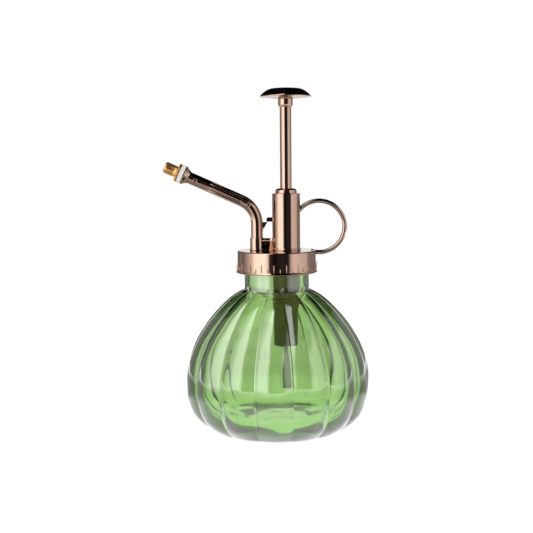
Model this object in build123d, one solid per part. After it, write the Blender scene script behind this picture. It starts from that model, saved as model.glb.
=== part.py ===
"""Hand mister: a ribbed glass bottle with a screw-on pump head.

Millimetres, +Z up. The origin is the middle of the bottle's base. The pump's own axis stands a little
towards +X from the bottle's axis, the spout leaves towards -X and the finger ring is on the +X side.
The plunger is drawn at the top of its stroke and the head is screwed down.
"""

import math
import os

from build123d import *

# ---- driving dimensions ----
lobe_count = 15
lobe_pitch = 360 / lobe_count
first_groove = -81.1  # direction of one groove, degrees from +X

neck_radius = 17.2
neck_bore = 14.6
lip_height = 92.2

thread_pitch = 4.23
thread_turns = 1.25
glass_thread_crest = 18.6
glass_thread_height = 85.2  # middle of the glass thread where it starts
cap_thread_crest = 17.55
cap_thread_root = 18.95
cap_thread_drop = 1.5  # the cap's thread lies this far under the glass thread

cap_bottom = 83.4
plate_bottom = 93.0
plate_top = 95.0
skirt_radius = 20.9
cap_lip_radius = 21.7
rib_pairs = 20  # one long and one short grip rib in each pair

pump_x = 5.2
barrel_radius = 7.4
barrel_top = 125.0
tail_radius = 6.4
tail_bottom = 86.0
water_way_radius = 5.65  # inside of the barrel's tail and of the sleeve
liner_radius = 4.9
piston_bore = 4.0
sleeve_radius = 7.2
sleeve_bottom = 46.0
foot_top = 50.0
liner_top = 118.0

rod_radius = 3.05
rod_bore = 2.1
rod_clearance = 0.07
stroke = 41.0
piston_bottom = 109.8
piston_top = 117.8
rod_top = 173.0
stud_top = 177.4
knob_underside = 175.0
knob_radius = 13.6
knob_top = 179.7

outlet_level = 97.0  # the water way from the pump to the spout
outlet_seat = 98.3
ball_stop_height = 104.1
foot_seat = 45.6

spout_x = -10.3
socket_radius = 3.7
socket_top = 101.6
spout_radius = 3.1
spout_bore = 1.9
spout_start = 100.4
spout_corner_height = 117.7
spout_bend = 13.5
spout_rise = 24.2  # degrees above level
spout_reach = 39.8  # from the corner of the spout's path to its end

ring_x = 22.5
ring_height = 107.3
ring_radius = 13.6
ring_wire = 1.2

flange_face = 2.0  # heights along the nozzle's axis, from the end of the spout's straight run
washer_top = 4.4
collar_bottom = 4.5
collar_top = 6.0
nozzle_top = 13.0

ball_radius = 1.5
dip_tube_radius = 2.3
dip_tube_bore = 1.6
dip_tube_bottom = 20.0

rise = math.radians(spout_rise)
spout_direction = Vector(-math.cos(rise), 0, math.sin(rise))
spout_corner = Vector(spout_x, 0, spout_corner_height)
spout_end = spout_corner + spout_direction * spout_reach
nozzle_plane = Plane(origin=spout_end, x_dir=(0, 1, 0), z_dir=spout_direction)


# ---- helpers ----
def turned(*corners, x=0.0):
    """A solid turned about a vertical axis, from (radius, height) or (radius, height, fillet) corners."""
    points = [corner[:2] for corner in corners]
    fillets = [corner[2] if len(corner) == 3 else 0 for corner in corners]
    outline = FilletPolyline(*points, radius=fillets, close=True)
    return Pos(x, 0, 0) * revolve(make_face(Plane.XZ * outline), Axis.Z, 360)


def tube(outer, inner, bottom, top, x=0.0):
    """A straight upright tube."""
    return turned((inner, bottom), (outer, bottom), (outer, top), (inner, top), x=x)


def rod(radius, bottom, top, x=0.0):
    """A straight upright round bar."""
    return Pos(x, 0, bottom) * Cylinder(radius, top - bottom, align=(Align.CENTER, Align.CENTER, Align.MIN))


def brick(low, high):
    """A box between two corners."""
    size = [b - a for a, b in zip(low, high)]
    return Pos(*low) * Box(*size, align=(Align.MIN, Align.MIN, Align.MIN))


def ball_seat_cone(bore, chamber, bottom, x):
    """The hole of a ball valve: a bore, a 45 degree seat and the chamber above it, as a cutter."""
    seat_top = bottom + (chamber - bore)
    return turned((0, bottom - 12), (bore, bottom - 12), (bore, bottom), (chamber, seat_top),
                  (chamber, seat_top + 20), (0, seat_top + 20), x=x)


def helical_ridge(root, crest, root_half, crest_half, start_height, start_angle):
    """A screw thread's ridge of trapezoid section, one thread_turns long."""
    path = Helix(thread_pitch, thread_pitch * thread_turns, root)
    section = make_face(Plane.XZ * Polyline(
        (root, -root_half), (crest, -crest_half), (crest, crest_half), (root, root_half), close=True))
    ridge = sweep(section, path=path, is_frenet=True)
    return Pos(0, 0, start_height) * Rot(0, 0, start_angle) * ridge


# ---- the bottle ----
def lobed_section(height, crest, depth):
    """One level of the bottle: lobes as arcs that meet in grooves of the given depth."""
    def at(radius, step):
        angle = math.radians(first_groove + step * lobe_pitch)
        return (radius * math.cos(angle), radius * math.sin(angle), height)

    arcs = [ThreePointArc(at(crest - depth, n), at(crest, n + 0.5), at(crest - depth, n + 1))
            for n in range(lobe_count)]
    return make_face(Wire(arcs))


# height, radius over the lobes' crests, depth of the grooves
bottle_levels = [
    (0.0, 33.5, 0.5), (0.9, 36.5, 0.8), (2.9, 39.6, 1.1), (6.2, 43.3, 1.5), (11.0, 46.5, 1.9),
    (18.0, 48.5, 2.2), (26.0, 49.0, 2.3), (35.0, 48.0, 2.3), (45.0, 44.6, 2.2), (54.0, 39.5, 2.0),
    (61.5, 33.7, 1.8), (67.5, 27.9, 1.5), (71.5, 22.8, 1.2), (74.0, 18.2, 0.8),
]


def make_bottle():
    body = loft([lobed_section(*level) for level in bottle_levels])
    neck = turned((0, 70), (neck_radius + 0.6, 70), (neck_radius + 0.6, 73.4, 0.5), (neck_radius, 76, 2.0),
                  (neck_radius, lip_height, 0.6), (0, lip_height))
    thread = helical_ridge(neck_radius - 0.2, glass_thread_crest, 1.1, 0.5, glass_thread_height, 0)
    hollow_wall = Spline((0, 4.6), (23, 4.5), (35, 7.2), (41.6, 13), (44, 20), (44.4, 26), (43.2, 37), (38.6, 48),
                         (31, 58.5), (23.2, 66.8), (16.8, 72), (neck_bore, 77),
                         tangents=((1, 0), (0, 1)))
    hollow_outline = hollow_wall + Polyline((neck_bore, 77), (neck_bore, 95), (0, 95), (0, 4.6))
    hollow = revolve(make_face(Plane.XZ * hollow_outline), Axis.Z, 360)
    foot_recess = turned((0, -1), (20, -1), (20, 0.1, 0.4), (17, 1.1, 1.0), (0, 1.1))
    return body + neck + thread - hollow - foot_recess


def make_neck_gasket():
    return tube(18.5, 14.3, lip_height + 0.05, plate_bottom - 0.05)


# ---- the screw cap ----
def make_cap():
    shell = turned((0, plate_bottom), (cap_thread_root, plate_bottom, 0.3), (cap_thread_root, cap_bottom),
                   (cap_lip_radius, cap_bottom, 0.25), (cap_lip_radius, cap_bottom + 0.9, 0.3),
                   (skirt_radius + 0.3, cap_bottom + 1.5, 0.3), (skirt_radius, plate_top, 0.9), (0, plate_top))
    thread = helical_ridge(cap_thread_root + 0.2, cap_thread_crest, 0.75, 0.35,
                           glass_thread_height - cap_thread_drop + thread_pitch / 6, 60)
    ribs = []
    for n in range(2 * rib_pairs):
        height = 4.9 if n % 2 else 2.5
        angle = (n + 0.5) * 180 / rib_pairs
        stem = Pos(skirt_radius + 0.1, 0, cap_bottom + 1) * Cylinder(
            0.5, height, align=(Align.CENTER, Align.CENTER, Align.MIN))
        tip = Pos(skirt_radius + 0.1, 0, cap_bottom + 1 + height) * Sphere(0.5)
        ribs.append(Rot(0, 0, angle) * (stem + tip))
    pump_hole = rod(tail_radius + 0.05, plate_bottom - 1, plate_top + 1, x=pump_x)
    return shell + thread + ribs - pump_hole


# ---- the pump's fixed parts ----
def make_barrel():
    body = turned((water_way_radius, tail_bottom), (tail_radius, tail_bottom), (tail_radius, plate_top),
                  (barrel_radius + 0.25, plate_top), (barrel_radius + 0.25, plate_top + 0.9, 0.3),
                  (barrel_radius, plate_top + 1.2, 0.3), (barrel_radius, barrel_top, 0.8),
                  (5.05, barrel_top), (5.05, 121.4), (liner_radius, 121.4), (liner_radius, 104.0),
                  (water_way_radius, 104.0), x=pump_x)
    water_port = Pos(pump_x, 0, outlet_level) * Rot(0, -90, 0) * Cylinder(
        1.0, 12, align=(Align.CENTER, Align.CENTER, Align.MIN))
    return body - water_port


def make_outlet_block():
    socket = turned((0, plate_top), (socket_radius + 0.2, plate_top), (socket_radius + 0.2, plate_top + 0.7, 0.2),
                    (socket_radius, plate_top + 0.9, 0.2), (socket_radius, socket_top, 0.3), (0, socket_top),
                    x=spout_x)
    bridge = brick((spout_x, -2.7, plate_top), (pump_x, 2.7, socket_top - 0.1))
    counterbore = rod(spout_radius, spout_start - 0.6, socket_top + 1, x=spout_x)
    passage = Pos(pump_x, 0, outlet_level) * Rot(0, -90, 0) * Cylinder(
        1.0, pump_x - spout_x, align=(Align.CENTER, Align.CENTER, Align.MIN))
    valve = turned((0, outlet_level), (0.9, outlet_level), (0.9, outlet_seat), (spout_bore, outlet_seat + 1.0),
                   (spout_bore, socket_top + 1), (0, socket_top + 1), x=spout_x)
    return socket + bridge - rod(barrel_radius + 0.25, 90, plate_top + 3, x=pump_x) \
        - rod(barrel_radius, 90, 110, x=pump_x) - counterbore - passage - valve


def make_spout():
    path = FilletPolyline((spout_x, 0, spout_start), spout_corner, spout_end + spout_direction * 2.0,
                          radius=spout_bend)
    start = Plane(origin=(spout_x, 0, spout_start), z_dir=(0, 0, 1))
    outside = sweep(start * Circle(spout_radius), path=path)
    inside = sweep(start * Circle(spout_bore), path=path)
    fin = Pos(0, 0.8, 0) * extrude(make_face(Plane.XZ * Polyline(
        (spout_x + 1, 109.9), (-4.7, 109.9), (spout_x + 2.8, 105.0), (spout_x + 1, 105.0), close=True)), 1.6)
    pin_hole = Pos(spout_x, 0, ball_stop_height) * Rot(90, 0, 0) * Cylinder(0.35, 5.4)
    return outside + fin - inside - pin_hole - core_plugs()


def make_ball_stop():
    return Pos(spout_x, 0, ball_stop_height) * Rot(90, 0, 0) * Cylinder(0.35, 5.4)


def core_plugs():
    """The round plugs that close the moulding's locating holes, two on each side of the spout."""
    near_end = spout_end - spout_direction * 4.6
    bend_start = spout_corner_height - spout_bend * math.tan((math.pi / 2 - rise) / 2)
    along_bend = math.radians(47.6)
    near_bend = Vector(spout_x - spout_bend + spout_bend * math.cos(along_bend), 0,
                       bend_start + spout_bend * math.sin(along_bend))
    plugs = []
    for place in (near_end, near_bend):
        for side in (-1, 1):
            plug = Cylinder(1.0, 1.2, align=(Align.CENTER, Align.CENTER, Align.MIN))
            plugs.append(Pos(place.X, side * 2.05, place.Z) * Rot(-90 * side, 0, 0) * plug)
    return plugs


def make_spout_catch():
    profile = FilletPolyline((-5.3, 110.1), (-1.0, 110.1), (-1.0, 112.4), (-5.3, 112.4),
                             radius=[0, 0, 0, 1.2], close=True)
    bar = Pos(0, 0.9, 0) * extrude(make_face(Plane.XZ * profile), 1.8)
    return bar - rod(barrel_radius, 105, 115, x=pump_x)


def make_spout_gasket():
    return tube(spout_radius, spout_bore + 0.1, spout_start - 0.6, spout_start, x=spout_x)


def make_outlet_ball():
    return Pos(spout_x, 0, outlet_seat + 1.30) * Sphere(ball_radius)


def make_finger_ring():
    arc = CenterArc((ring_x, ring_height), ring_radius, -110, 260)
    path = Plane.XZ * arc
    ring = sweep(Plane(origin=path @ 0, z_dir=path % 0) * Circle(ring_wire), path=path)
    return ring - rod(barrel_radius, 100, 130, x=pump_x) - make_cap_envelope()


def make_cap_envelope():
    """The cap's plain outside, to cut its neighbours by."""
    return turned((0, cap_bottom), (skirt_radius + 0.3, cap_bottom + 1.5), (skirt_radius, plate_top, 0.9),
                  (0, plate_top))


def make_gland_nut():
    return turned((rod_radius + rod_clearance, 121.6), (5.0, 121.6), (5.0, barrel_top), (5.75, barrel_top),
                  (5.75, barrel_top + 2.6, 1.7), (rod_radius + rod_clearance, barrel_top + 2.6, 0.2), x=pump_x)


def make_rod_seal():
    return tube(liner_radius - 0.02, rod_radius + 0.03, liner_top + 1.4, 121.3, x=pump_x)


def make_piston_stop():
    return tube(liner_radius - 0.02, rod_radius + rod_clearance, liner_top, liner_top + 1.3, x=pump_x)


def make_liner():
    wall = tube(liner_radius, piston_bore, foot_top, liner_top, x=pump_x)
    ports = [Pos(pump_x, 0, foot_top + 2.6) * Rot(0, 0, 90 * n) * Rot(0, 90, 0) * Cylinder(
        0.9, 8, align=(Align.CENTER, Align.CENTER, Align.MIN)) for n in range(4)]
    return wall - ports


def make_sleeve():
    return turned((water_way_radius, sleeve_bottom, 0), (sleeve_radius, sleeve_bottom, 0.3), (sleeve_radius, 90.0, 0.3),
                  (tail_radius, 90.0), (tail_radius, tail_bottom), (water_way_radius, tail_bottom), x=pump_x)


def make_lock_nut():
    hexagon = Pos(pump_x, 0, 90.0) * extrude(RegularPolygon(8.5, 6), plate_bottom - 90.0)
    return hexagon - rod(tail_radius, 89, 94, x=pump_x)


def make_foot_valve():
    body = turned((0, 34.0), (dip_tube_bore, 34.0, 0.3), (dip_tube_bore, 43.0), (3.4, 43.0),
                  (sleeve_radius, 44.4, 0.5), (sleeve_radius, sleeve_bottom),
                  (water_way_radius, sleeve_bottom), (water_way_radius, foot_top), (0, foot_top), x=pump_x)
    return body - ball_seat_cone(0.9, 1.9, foot_seat, pump_x)


def make_inlet_ball():
    return Pos(pump_x, 0, foot_seat + 1.30) * Sphere(ball_radius)


def make_ball_retainer():
    disc = rod(piston_bore - 0.02, foot_top, foot_top + 0.8, x=pump_x)
    holes = [Pos(pump_x, 0, foot_top - 1) * Rot(0, 0, 45 + 90 * n) * Pos(1.45, 0, 0) * Cylinder(
        0.7, 3, align=(Align.CENTER, Align.CENTER, Align.MIN)) for n in range(4)]
    return disc - holes


def make_dip_tube():
    return tube(dip_tube_radius, dip_tube_bore, dip_tube_bottom, 43.0, x=pump_x)


# ---- the nozzle, drawn along its own axis from the end of the spout's straight run ----
def on_spout(solid):
    return nozzle_plane * solid


def make_spout_flange():
    return on_spout(turned((spout_radius, -0.9), (spout_radius + 0.35, -0.9, 0.1), (spout_radius + 0.35, -0.4, 0.2),
                           (5.15, flange_face - 0.4, 0.1), (5.15, flange_face, 0.1), (spout_radius, flange_face)))


def make_nozzle_spigot():
    return on_spout(turned((0.9, -4.0), (spout_bore, -4.0, 0.2), (spout_bore, flange_face),
                           (2.3, flange_face), (2.3, 9.2, 0.2), (0.9, 9.2)))


def make_nozzle_washer():
    return on_spout(tube(5.05, 2.35, flange_face + 0.3, washer_top))


def make_nozzle_gasket():
    return on_spout(tube(4.6, 2.35, flange_face, flange_face + 0.3))


def make_nozzle_cap():
    body = turned((2.38, collar_bottom), (4.85, collar_bottom, 0.2), (4.85, collar_top, 0.2), (3.05, collar_top),
                  (3.05, 7.2, 0.1), (2.95, 7.4, 0.1), (2.95, 7.9, 0.1), (3.05, 8.1, 0.1), (3.05, nozzle_top, 0.5),
                  (0.9, nozzle_top, 0.1), (0.35, nozzle_top - 0.4), (0.35, nozzle_top - 0.8),
                  (2.38, nozzle_top - 0.8))
    notches = [Rot(0, 0, 15 * n) * Pos(4.95, 0, collar_bottom - 1) * Cylinder(
        0.32, 4, align=(Align.CENTER, Align.CENTER, Align.MIN)) for n in range(24)]
    return on_spout(body - notches)


def make_swirl_insert():
    head = turned((0, 3.0), (0.8, 3.0, 0.2), (0.8, 9.5), (2.2, 9.5), (2.2, 11.8, 0.4), (0, 11.8))
    slots = [Rot(0, 0, 120 * n) * brick((1.0, -0.3, 9.3), (2.5, 0.3, 12.1)) for n in range(3)]
    return on_spout(head - slots)


# ---- the plunger ----
def make_knob():
    top = ThreePointArc((0, knob_top), (4.4, knob_top - 0.05), (8.0, knob_top - 0.3))
    slope = ThreePointArc((8.0, knob_top - 0.3), (11.0, knob_top - 1.8), (knob_radius - 0.1, knob_top - 4.25))
    rim = ThreePointArc((knob_radius - 0.1, knob_top - 4.25), (knob_radius + 0.05, knob_top - 4.5),
                        (knob_radius - 0.2, knob_top - 4.65))
    under = Polyline((knob_radius - 0.2, knob_top - 4.65), (11.6, knob_top - 4.0), (3.9, knob_top - 3.7),
                     (3.9, knob_underside), (1.5, knob_underside), (1.5, stud_top), (0, stud_top), (0, knob_top))
    return Pos(pump_x, 0, 0) * revolve(make_face(Plane.XZ * (top + slope + rim + under)), Axis.Z, 360)


def make_knob_stud():
    return rod(1.5, rod_top - 7.0, stud_top, x=pump_x)


def make_rod_collar():
    bottom = rod_top - 3.1
    return turned((rod_radius, bottom), (3.5, bottom, 0.3), (3.9, bottom + 1.1, 0.8), (3.9, knob_underside),
                  (1.5, knob_underside), (1.5, rod_top), (rod_radius, rod_top), x=pump_x)


def make_piston_rod():
    return tube(rod_radius, rod_bore, piston_top, rod_top, x=pump_x)


def make_rod_plug():
    return tube(rod_bore, 1.5, rod_top - 8.0, rod_top, x=pump_x)


def make_piston():
    return turned((0, piston_bottom), (2.4, piston_bottom), (2.4, piston_bottom + 0.9), (3.92, piston_bottom + 0.9, 0.2),
                  (3.92, 112.2), (2.9, 112.2), (2.9, 114.6), (3.92, 114.6), (3.92, piston_top, 0.2),
                  (rod_bore, piston_top), (rod_bore, 127.0, 0.4), (0, 127.0), x=pump_x)


def make_piston_seal():
    return turned((2.9, 112.3), (3.96, 112.3, 0.3), (3.96, 114.5, 0.3), (2.9, 114.5), x=pump_x)


def make_return_spring():
    coils, wire, mean = 15, 0.4, 3.2
    bottom, top = foot_top + 0.8 + wire, piston_bottom + 0.9 - wire
    path = Helix((top - bottom) / coils, top - bottom, mean)
    coil = sweep(Plane(origin=path @ 0, z_dir=path % 0) * Circle(wire), path=path, is_frenet=True)
    return Pos(pump_x, 0, bottom + 0.02) * coil


makers = {
    "glass_bottle": make_bottle,
    "neck_gasket": make_neck_gasket,
    "screw_cap": make_cap,
    "pump_barrel": make_barrel,
    "outlet_block": make_outlet_block,
    "spout_tube": make_spout,
    "spout_core_plugs": lambda: Compound(core_plugs()),
    "spout_catch": make_spout_catch,
    "spout_gasket": make_spout_gasket,
    "outlet_ball": make_outlet_ball,
    "outlet_ball_stop": make_ball_stop,
    "finger_ring": make_finger_ring,
    "gland_nut": make_gland_nut,
    "rod_seal": make_rod_seal,
    "piston_stop": make_piston_stop,
    "cylinder_liner": make_liner,
    "pump_sleeve": make_sleeve,
    "lock_nut": make_lock_nut,
    "foot_valve": make_foot_valve,
    "inlet_ball": make_inlet_ball,
    "ball_retainer": make_ball_retainer,
    "dip_tube": make_dip_tube,
    "spout_flange": make_spout_flange,
    "nozzle_spigot": make_nozzle_spigot,
    "nozzle_gasket": make_nozzle_gasket,
    "nozzle_washer": make_nozzle_washer,
    "nozzle_cap": make_nozzle_cap,
    "swirl_insert": make_swirl_insert,
    "knob": make_knob,
    "knob_stud": make_knob_stud,
    "rod_collar": make_rod_collar,
    "piston_rod": make_piston_rod,
    "rod_plug": make_rod_plug,
    "piston": make_piston,
    "piston_seal": make_piston_seal,
    "return_spring": make_return_spring,
}

os.makedirs("parts", exist_ok=True)
for name, make in makers.items():
    export_step(make(), f"parts/{name}.step")
    print("wrote", name)
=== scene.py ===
import math
import random

import bmesh
import bpy
from mathutils import Matrix, Vector, noise


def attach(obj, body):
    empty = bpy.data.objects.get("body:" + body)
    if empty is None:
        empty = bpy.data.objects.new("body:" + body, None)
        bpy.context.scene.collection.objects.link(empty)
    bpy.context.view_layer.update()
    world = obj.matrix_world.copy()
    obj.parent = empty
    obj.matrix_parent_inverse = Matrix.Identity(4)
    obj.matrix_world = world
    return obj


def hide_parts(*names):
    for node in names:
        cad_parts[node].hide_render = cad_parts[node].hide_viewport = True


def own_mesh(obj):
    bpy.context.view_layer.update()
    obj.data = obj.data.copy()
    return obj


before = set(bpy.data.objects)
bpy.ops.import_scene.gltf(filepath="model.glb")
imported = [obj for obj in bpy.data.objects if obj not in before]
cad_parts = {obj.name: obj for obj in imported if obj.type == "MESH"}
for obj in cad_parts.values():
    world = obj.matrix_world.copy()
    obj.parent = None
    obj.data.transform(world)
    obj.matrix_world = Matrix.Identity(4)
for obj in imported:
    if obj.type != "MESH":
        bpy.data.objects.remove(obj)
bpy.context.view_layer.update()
print("frame loaded:", len(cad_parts), "nodes")

# every length below is in millimetres and becomes metres when a piece is placed
toMetres = 0.001
fullTurn = 2 * math.pi

pumpX = 5.2  # the pump's axis stands this far from the bottle's
spoutX = -10.3

cameraSetup = {
    "place": (-0.0054, -0.520, 0.140),
    "tiltDown": 5.9,
    "lean": -0.5,
    "lens": 66.5,
}

bottle = {
    # each stretch is smooth and starts where the last one ends: height, radius over the lobes, groove, ripple
    "stretches": [
        [(1.1, 0, 0, 0), (1.1, 14, 0, 0), (0.95, 17.4, 0, 0), (0.2, 19.6, 0, 0), (0, 21.2, 0, 0),
         (0, 28, 0, 0)],
        [(0, 28, 0, 0), (0.04, 33.2, 0.5, 0), (0.9, 36.5, 0.8, 0), (2.9, 39.6, 1.1, 0.04),
         (6.2, 43.3, 1.5, 0.08), (11, 46.5, 1.9, 0.12), (18, 48.5, 2.2, 0.12), (26, 49.0, 2.3, 0.12),
         (35, 48.0, 2.3, 0.12),
         (45, 44.6, 2.3, 0.1), (54, 39.5, 2.2, 0.08), (61.5, 33.7, 2.0, 0.05), (67.5, 27.9, 1.8, 0.03),
         (71.5, 22.8, 1.5, 0), (73.9, 18.4, 1.15, 0)],
        [(73.9, 18.4, 1.15, 0), (74.6, 17.5, 0.5, 0), (76, 17.2, 0, 0), (82, 17.2, 0, 0), (90.8, 17.2, 0, 0),
         (91.8, 16.95, 0, 0), (92.2, 16.3, 0, 0)],
        [(92.2, 16.3, 0, 0), (92.2, 15.4, 0, 0), (91.75, 14.75, 0, 0), (90.8, 14.6, 0, 0), (84, 14.6, 0, 0),
         (77, 14.7, 0, 0), (72, 17.8, 0.6, 0.02), (66.8, 24.5, 1.2, 0.04), (58.5, 32.5, 1.5, 0.06),
         (48, 40.1, 1.8, 0.08), (37, 44.5, 1.9, 0.1), (26, 45.7, 1.9, 0.12), (19, 45.0, 1.8, 0.14),
         (13, 42.7, 1.5, 0.18), (8.7, 39.2, 1.1, 0.22), (6.0, 35, 0.7, 0.26), (4.7, 28.5, 0.3, 0.28),
         (4.3, 20, 0.1, 0.25), (4.1, 10, 0, 0.2), (4.1, 0, 0, 0)],
    ],
    "lobes": 15,
    "firstGroove": -81.1,
    "stepsPerLobe": 28,
    "crowding": 0.72,  # draws the mesh's meridians towards the grooves
    "grooveWidth": (0.035, 0.16),  # rounding of the groove outside and inside, as a share of half a lobe
    "stepsPerSpan": 4,
    "rippleSize": 11,
    "floorFrom": 20,  # the inner floor heaves below this height
    "floorHeave": 1.5,
    "rippleStretch": 1.6,
    "heaveShift": (3, 7, 1),
}

seeds = {
    "count": 46, "smallest": 0.10, "largest": 0.34, "longest": 1.8, "randomSeed": 7.3,
    "floorRadius": (8, 27), "floorHeight": (1.9, 2.9),
    "wallHeight": (17, 34), "wallRadius": 47.3, "wallWidest": 26, "wallCurve": 0.012,
    "acrossLobe": (0.35, 0.65),
}

glassThread = {"root": 17.05, "crest": 18.6, "rootHalf": 1.1, "crestHalf": 0.5, "start": 85.2, "from": 0,
               "pitch": 4.23, "turns": 1.25, "stepsPerTurn": 96}
capThread = {"root": 19.1, "crest": 17.55, "rootHalf": 0.75, "crestHalf": 0.35, "start": 84.4, "from": 60,
             "pitch": 4.23, "turns": 1.25, "stepsPerTurn": 96}

cap = {
    "outline": [(6.45, 93.0), (18.95, 93.0), (18.95, 83.4), (21.4, 83.4), (21.7, 83.62), (21.7, 83.95),
                (21.12, 84.75), (20.92, 85.5), (20.9, 95.0), (6.45, 95.0)],
    "steps": 240,
    "edge": 0.3,
    "topEdge": 0.75,
    "ribPairs": 20,
    "longRib": 4.6,
    "shortRib": 2.3,
    "ribWidth": 0.62,
    "ribHeight": 0.42,
    "ribAt": 20.92,
    "ribFoot": 84.5,
    "ribLower": 0.2,  # how much of the rib's ball is left below, and of its point above
    "ribUpper": 0.75,
    "topFrom": 94.9,  # only the outer corner above this height and outside this radius is rounded more
    "topOutside": 20,
    "holeWithin": 7.2,
}

barrel = {
    "outline": [(6.4, 86), (6.4, 95.02), (7.65, 95.02), (7.65, 95.9), (7.4, 96.2), (7.4, 125.0), (5.05, 125.0),
                (5.05, 121.4), (4.9, 121.4), (4.9, 104), (5.65, 104), (5.65, 86)],
    "steps": 128,
    "edge": 0.42,
}

glandNut = {
    "outline": [(3.12, 121.6), (5.0, 121.6), (5.0, 125.02), (5.75, 125.02), (5.75, 125.9), (5.5, 126.75),
                (4.85, 127.35), (4.0, 127.6), (3.3, 127.6), (3.12, 127.45)],
    "steps": 96,
    "edge": 0.1,
}

socket = {
    "outline": [(0.9, 95.02), (3.9, 95.02), (3.9, 95.7), (3.7, 95.95), (3.7, 101.6), (3.1, 101.6), (3.1, 99.8),
                (1.9, 99.3), (0.9, 98.3)],
    "steps": 72,
    "edge": 0.16,
    "bridge": {"fromX": -9.6, "toX": -1.2, "halfWidth": 2.7, "bottom": 95.02, "top": 101.5, "edge": 0.45,
               "hollow": 0.5, "cuts": 15},
}

spout = {
    "radius": 3.1, "bore": 1.9, "start": 100.4, "cornerHeight": 117.7, "bend": 13.5, "rise": 24.2,
    "reach": 39.8, "stub": 2.0, "sides": 64, "bendSteps": 36,
    "fin": {"corners": [(-8.0, 109.9), (-4.7, 109.9), (-7.4, 105.0), (-8.0, 105.0)], "halfWidth": 0.8,
            "edge": 0.15},
    "band": 0.3, "plugFromEnd": 4.6, "plugAlongBend": 47.6, "plugOut": 3.02, "plugSteps": 32,
    "plugOutline": [(0, 0.02), (0.72, 0.02), (0.82, 0.14), (0.94, 0.2), (1.06, 0.15), (1.1, -1.0), (0, -1.0)],
}

catch = {"fromX": -5.3, "toX": -1.6, "bottom": 110.1, "top": 112.4, "halfWidth": 0.9, "nose": 1.0, "edge": 0.2}

fingerRing = {"x": 22.5, "height": 107.3, "radius": 13.6, "wire": 1.2, "from": -109, "turn": 257, "steps": 120,
              "sides": 32}

flange = {
    "outline": [(3.1, -0.9), (3.42, -0.9), (3.5, -0.5), (3.78, 0.15), (4.3, 0.85), (5.12, 1.68), (5.15, 1.94),
                (5.0, 2.0), (3.1, 2.0)],
    "steps": 96,
    "edge": 0.05,
}

washer = {"inside": 2.36, "outside": 4.98, "bottom": 2.32, "top": 4.4, "teeth": 54, "depth": 0.13,
          "stepsPerTooth": 4, "toothedFrom": 4.8, "bevel": (0.1, 0.12)}
toothShape = 0.7  # less is a squarer notch

nozzleCap = {
    "outline": [(2.38, 4.5), (4.7, 4.5), (4.87, 4.7), (4.87, 5.8), (4.7, 6.0), (3.12, 6.0), (3.05, 7.2),
                (2.93, 7.4), (2.93, 7.9), (3.05, 8.1), (3.05, 12.1), (2.9, 12.6), (2.55, 13.0), (0.95, 13.0),
                (0.35, 12.6), (0.35, 12.2), (2.38, 12.2)],
    "teeth": 24, "depth": 0.42, "stepsPerTooth": 8, "toothedFrom": 4.5,
}

knob = {
    "outline": [(0, 179.7), (2.4, 179.69), (4.6, 179.64), (6.4, 179.54), (7.8, 179.38), (9.0, 179.02),
                (10.4, 178.3), (11.8, 177.25), (12.9, 176.15), (13.45, 175.5), (13.62, 175.25), (13.5, 175.07),
                (13.1, 175.15), (11.6, 175.7), (7.5, 175.95), (3.9, 176.0), (3.9, 175.02), (1.5, 175.02),
                (1.5, 177.4), (0, 177.4)],
    "steps": 144,
}

rodCollar = {
    "outline": [(3.06, 169.9), (3.4, 169.95), (3.55, 170.3), (3.8, 171.0), (3.9, 171.5), (3.9, 174.6),
                (3.75, 175.0), (1.5, 175.0), (1.5, 173.0), (3.06, 173.0)],
    "steps": 96,
    "edge": 0.06,
}

rod = {"outline": [(2.1, 117.8), (3.05, 117.8), (3.05, 173.0), (2.1, 173.0)], "steps": 96}

spring = {"wire": 0.4, "mean": 3.2, "coils": 15, "bottom": 51.2, "top": 110.3, "stepsPerCoil": 40, "sides": 10}

sleeve = {
    "outline": [(5.65, 46.0), (6.9, 46.0), (7.2, 46.3), (7.2, 89.7), (6.9, 90.0), (6.4, 90.0), (6.4, 86.0),
                (5.65, 86.0)],
    "steps": 96,
    "edge": 0.1,
}

dipTube = {"outline": [(1.6, 20.0), (2.3, 20.0), (2.3, 43.0), (1.6, 43.0)], "steps": 64, "edge": 0.06}

stageSetup = {
    "floorSize": 0.45,
    "floorLevel": -0.0003,
    "floorPaint": 0.12,
    "floorGlow": 0.96,
    "underGlow": (1.0, 0.9, 1.15),  # the floor seen through the glass, under the bottle and further out
    "outerGlow": (0.54, 0.54, 0.54),
    "underReach": 0.05,
    "outerReach": 0.11,
    "nearGlow": 0.45,  # what polished metal sees of the floor close by, and further out
    "farGlow": 1.7,
    "sheen": 0.85,  # how much brighter the floor is reflected where it is closer than sheenFrom
    "sheenFrom": 0.055,
    "sheenTo": 0.083,
    "nearReach": 0.20,
    "farReach": 0.40,
}

studio = {
    # direction in degrees from the camera's, clockwise from above is to its right, and how bright it is there
    "ring": [(-180, 0.25), (-160, 0.24), (-150, 0.015), (-141, 0.07), (-128, 0.11), (-116, 0.075), (-102, 0.15),
             (-90, 0.26), (-78, 0.38), (-64, 0.70), (-48, 0.70), (-36, 0.78), (-28, 0.55), (-20, 0.02),
             (-8, 0.004), (14, 0.012), (30, 0.008), (35, 0.03), (43, 0.30), (52, 0.37), (70, 0.33), (92, 0.30),
             (106, 0.13), (122, 0.10), (138, 0.12), (149, 0.015), (160, 0.24), (180, 0.25)],
    "strength": 4.0,
    "ceilingTilt": 0.8,  # the dark ceiling comes down behind the object and leaves the tall lights in front
    "ceilingFrom": 0.90,
    "ceilingTo": 0.98,
    "rightTopFrom": 0.55,  # the light on the right is lower than the left one
    "rightTopTo": 0.70,
    "ceilingGlow": 0.01,
    "plainGlow": 1.0,
    "seenThrough": 0.8,  # share of plain white in what is seen through the glass
    "glassDim": 0.42,  # how much that white is dimmed
}


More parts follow.
